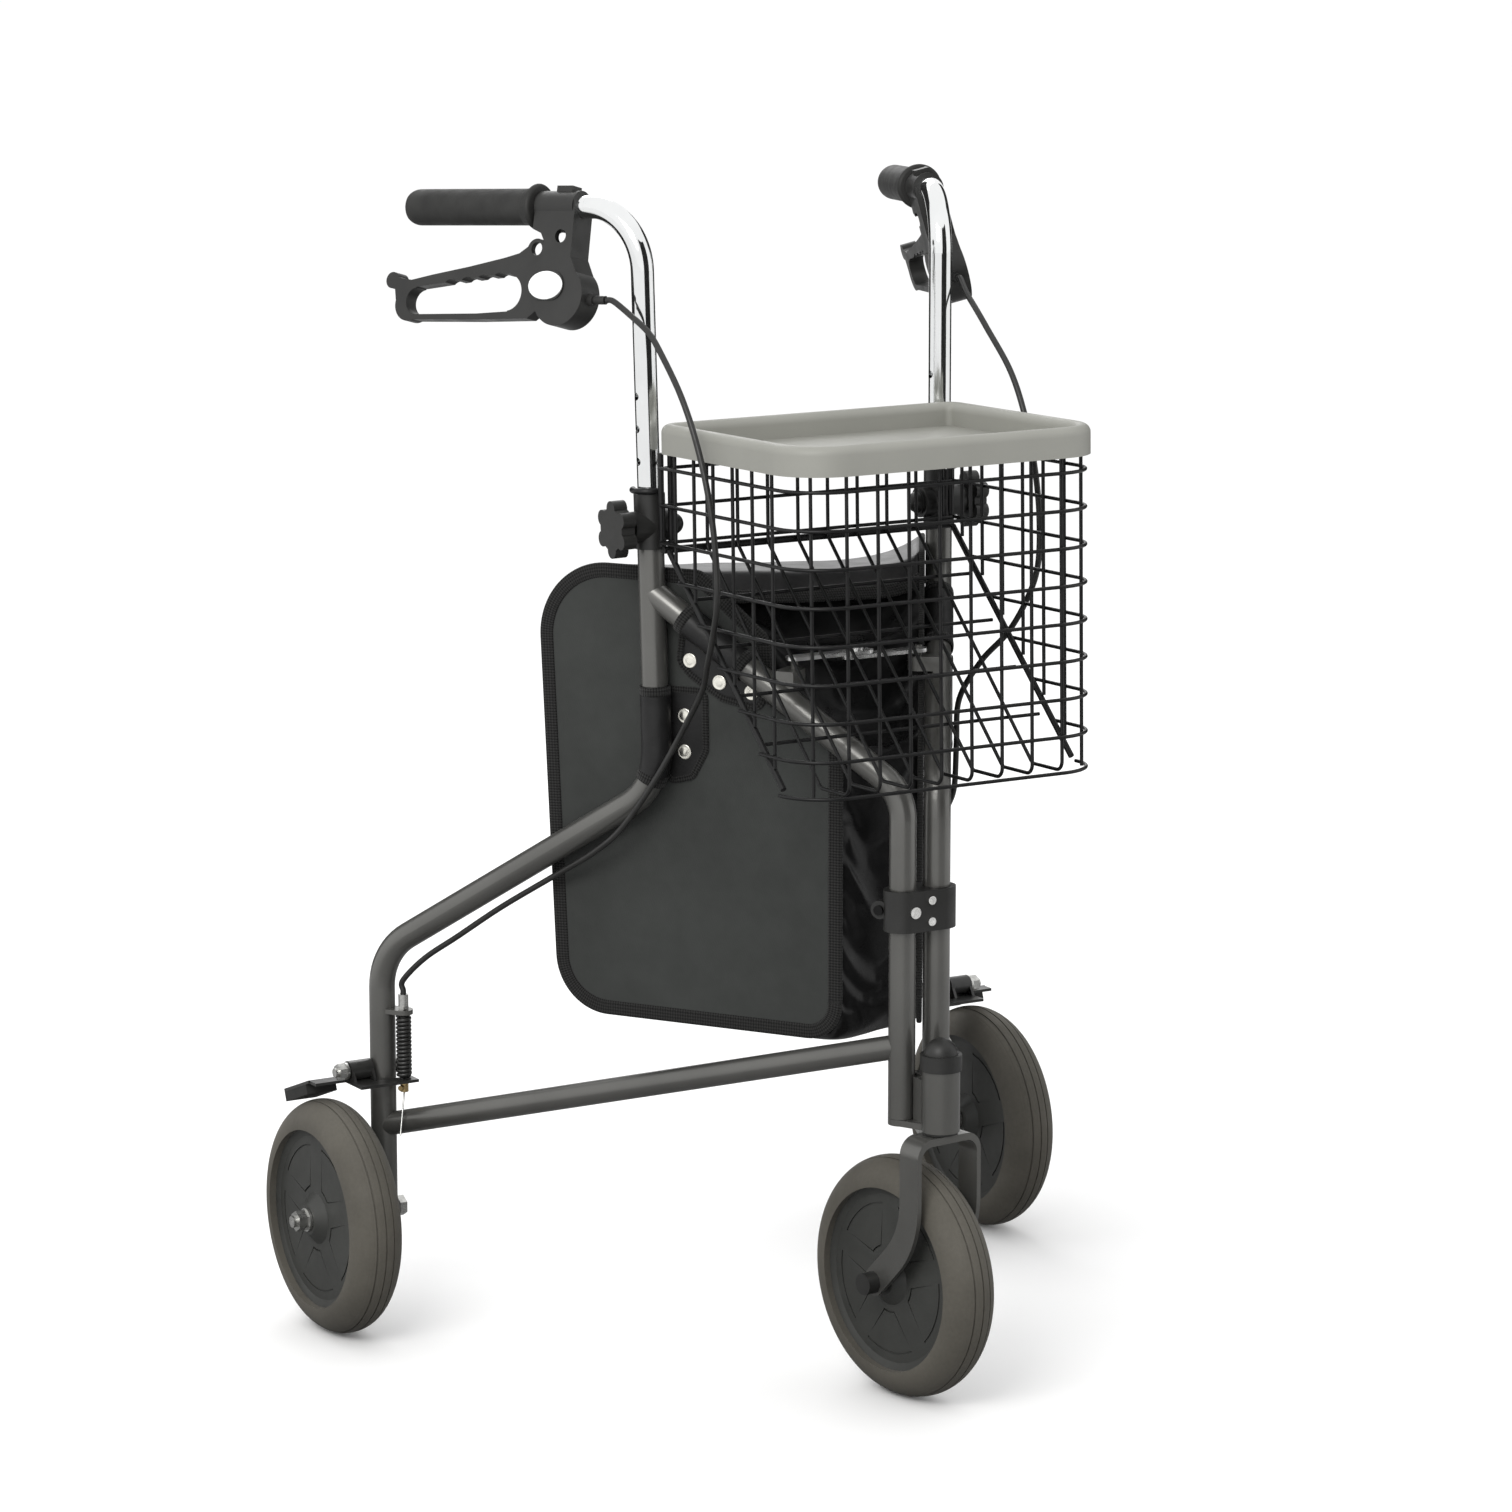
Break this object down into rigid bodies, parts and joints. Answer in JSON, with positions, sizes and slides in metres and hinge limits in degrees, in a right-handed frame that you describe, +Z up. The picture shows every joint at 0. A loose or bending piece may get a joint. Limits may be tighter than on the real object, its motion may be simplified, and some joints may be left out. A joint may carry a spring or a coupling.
{
  "type": "three wheel rollator",
  "caption": "Folding walker with two hinged side frames, a swivelling front wheel, loop brake handles, a wire basket with a tray and a hanging bag.",
  "frame": {"origin": "centre of the footprint box on the floor", "axes": "+Z up, the user walks towards -Y, the user's right side is -X"},
  "size_m": [0.7312, 0.5972, 0.9756],
  "materials": {
    "frame_paint": "metallic grey paint, semi gloss",
    "chrome": "polished",
    "black_plastic": "fine moulded texture",
    "grip_rubber": "soft moulded rubber",
    "tyre": "solid grey tread",
    "rim": "moulded dark plastic",
    "zinc": "bright zinc",
    "black_wire": "black dipped coating",
    "brake_black": "black paint",
    "tray_grey": "satin moulded plastic",
    "cable": "black outer sleeve",
    "brass": "turned",
    "link_steel": "plated strip",
    "bag": "coated woven cloth"
  },
  "bodies": {
    "head": {"head_tube": "frame_paint", "head_cap": "black_plastic", "fork_bushes": "black_plastic", "hinge_block": "black_plastic", "hinge_screws": "zinc", "bag": "bag"},
    "fork": {"fork": "frame_paint", "front_axle": "black_plastic"},
    "front_wheel": {"front_rim": "rim", "front_tyre": "tyre"},
    "right_frame": {"right_rear_tube": "frame_paint", "right_front_tube": "frame_paint", "right_lower_tube": "frame_paint", "right_lugs": "frame_paint", "right_brake_stud": "zinc", "right_axle": "zinc", "right_collar": "black_plastic", "right_clamp_bolt": "black_plastic", "right_adjuster": "zinc", "right_brake_cable": "cable", "right_brake_spring": "brake_black", "right_bag_flaps": "bag"},
    "right_wheel": {"right_rim": "rim", "right_tyre": "tyre"},
    "right_knob": {"right_knob": "black_plastic"},
    "right_handle": {"right_handle_tube": "chrome", "right_grip": "grip_rubber", "right_lever_housing": "black_plastic"},
    "right_lever": {"right_brake_lever": "black_plastic"},
    "right_brake": {"right_brake_arm": "brake_black", "right_brake_pad": "grip_rubber", "right_cable_clamp": "brass"},
    "right_brace": {"right_brace_link": "link_steel"},
    "left_frame": {"left_rear_tube": "frame_paint", "left_front_tube": "frame_paint", "left_lower_tube": "frame_paint", "left_lugs": "frame_paint", "left_brake_stud": "zinc", "left_axle": "zinc", "left_collar": "black_plastic", "left_clamp_bolt": "black_plastic", "left_adjuster": "zinc", "left_brake_cable": "cable", "left_brake_spring": "brake_black", "left_bag_flaps": "bag"},
    "left_wheel": {"left_rim": "rim", "left_tyre": "tyre"},
    "left_knob": {"left_knob": "black_plastic"},
    "left_handle": {"left_handle_tube": "chrome", "left_grip": "grip_rubber", "left_lever_housing": "black_plastic"},
    "left_lever": {"left_brake_lever": "black_plastic"},
    "left_brake": {"left_brake_arm": "brake_black", "left_brake_pad": "grip_rubber", "left_cable_clamp": "brass"},
    "left_brace": {"left_brace_link": "link_steel"},
    "basket": {"basket_mesh": "black_wire", "basket_rails": "black_wire"},
    "tray": {"tray": "tray_grey"}
  },
  "joints": [
    {"name": "caster_swivel", "type": "hinge", "parent": "head", "child": "fork", "pos_m": [0, -0.24328, 0.255], "axis": [0, 0, 1], "continuous": true},
    {"name": "front_wheel_spin", "type": "hinge", "parent": "fork", "child": "front_wheel", "pos_m": [-0.00568, -0.19924, 0.1], "axis": [0.9918, 0.1279, 0], "continuous": true},
    {"name": "right_fold", "type": "hinge", "parent": "head", "child": "right_frame", "pos_m": [-0.01625, -0.20998, 0.4], "axis": [0, 0, -1], "range_deg": [0, 27], "deforming": ["bag"]},
    {"name": "right_wheel_spin", "type": "hinge", "parent": "right_frame", "child": "right_wheel", "pos_m": [-0.32655, 0.19861, 0.1], "axis": [1, 0, 0], "continuous": true},
    {"name": "right_handle_height", "type": "slide", "parent": "right_frame", "child": "right_handle", "axis": [-0.016, 0.025, 0.9996], "range_m": [-0.055, 0.04], "deforming": ["right_brake_cable"]},
    {"name": "right_knob_turn", "type": "hinge", "parent": "right_frame", "child": "right_knob", "pos_m": [-0.16375, -0.01843, 0.70361], "axis": [-0.9999, -0.0002, -0.016], "continuous": true},
    {"name": "right_lever_squeeze", "type": "hinge", "parent": "right_handle", "child": "right_lever", "pos_m": [-0.18715, 0.05064, 0.89349], "axis": [0.8986, 0.3581, -0.2534], "range_deg": [0, 12], "stiffness_Nm_per_rad": 2, "springref_deg": -8.59},
    {"name": "right_brake_arm_turn", "type": "hinge", "parent": "right_frame", "child": "right_brake", "pos_m": [-0.29955, 0.19861, 0.224], "axis": [-1, 0, 0], "range_deg": [0, 3.6], "deforming": ["right_brake_spring"]},
    {"name": "right_brace_fold", "type": "hinge", "parent": "right_frame", "child": "right_brace", "pos_m": [-0.05934, -0.1129, 0.601], "axis": [0, 0, 1], "range_deg": [0, 107]},
    {"name": "left_fold", "type": "hinge", "parent": "head", "child": "left_frame", "pos_m": [0.01625, -0.20998, 0.4], "axis": [0, 0, 1], "range_deg": [0, 27]},
    {"name": "left_wheel_spin", "type": "hinge", "parent": "left_frame", "child": "left_wheel", "pos_m": [0.32655, 0.19861, 0.1], "axis": [1, 0, 0], "continuous": true},
    {"name": "left_handle_height", "type": "slide", "parent": "left_frame", "child": "left_handle", "axis": [0.016, 0.025, 0.9996], "range_m": [-0.055, 0.04], "deforming": ["left_brake_cable"]},
    {"name": "left_knob_turn", "type": "hinge", "parent": "left_frame", "child": "left_knob", "pos_m": [0.16375, -0.01843, 0.70361], "axis": [-0.9999, 0.0002, 0.016], "continuous": true},
    {"name": "left_lever_squeeze", "type": "hinge", "parent": "left_handle", "child": "left_lever", "pos_m": [0.18715, 0.05064, 0.89349], "axis": [0.8986, -0.3581, 0.2534], "range_deg": [0, 12], "stiffness_Nm_per_rad": 2, "springref_deg": -8.59},
    {"name": "left_brake_arm_turn", "type": "hinge", "parent": "left_frame", "child": "left_brake", "pos_m": [0.29955, 0.19861, 0.224], "axis": [-1, 0, 0], "range_deg": [0, 3.6], "deforming": ["left_brake_spring"]},
    {"name": "left_brace_fold", "type": "hinge", "parent": "left_frame", "child": "left_brace", "pos_m": [0.05934, -0.1129, 0.601], "axis": [0, 0, -1], "range_deg": [0, 107]},
    {"name": "basket_lift", "type": "slide", "parent": "head", "child": "basket", "axis": [0, 0.025, 0.9997], "range_m": [0, 0.03]},
    {"name": "tray_lift", "type": "slide", "parent": "basket", "child": "tray", "axis": [0, 0.025, 0.9997], "range_m": [0, 0.06]}
  ],
  "couplings": [
    {"joint": "left_fold", "follows": "right_fold", "ratio": 1},
    {"joint": "right_brace_fold", "follows": "right_fold", "ratio": 3.9532},
    {"joint": "right_brake_arm_turn", "follows": "right_lever_squeeze", "ratio": 0.3},
    {"joint": "left_brace_fold", "follows": "right_fold", "ratio": 3.9532},
    {"joint": "left_brake_arm_turn", "follows": "left_lever_squeeze", "ratio": 0.3}
  ]
}
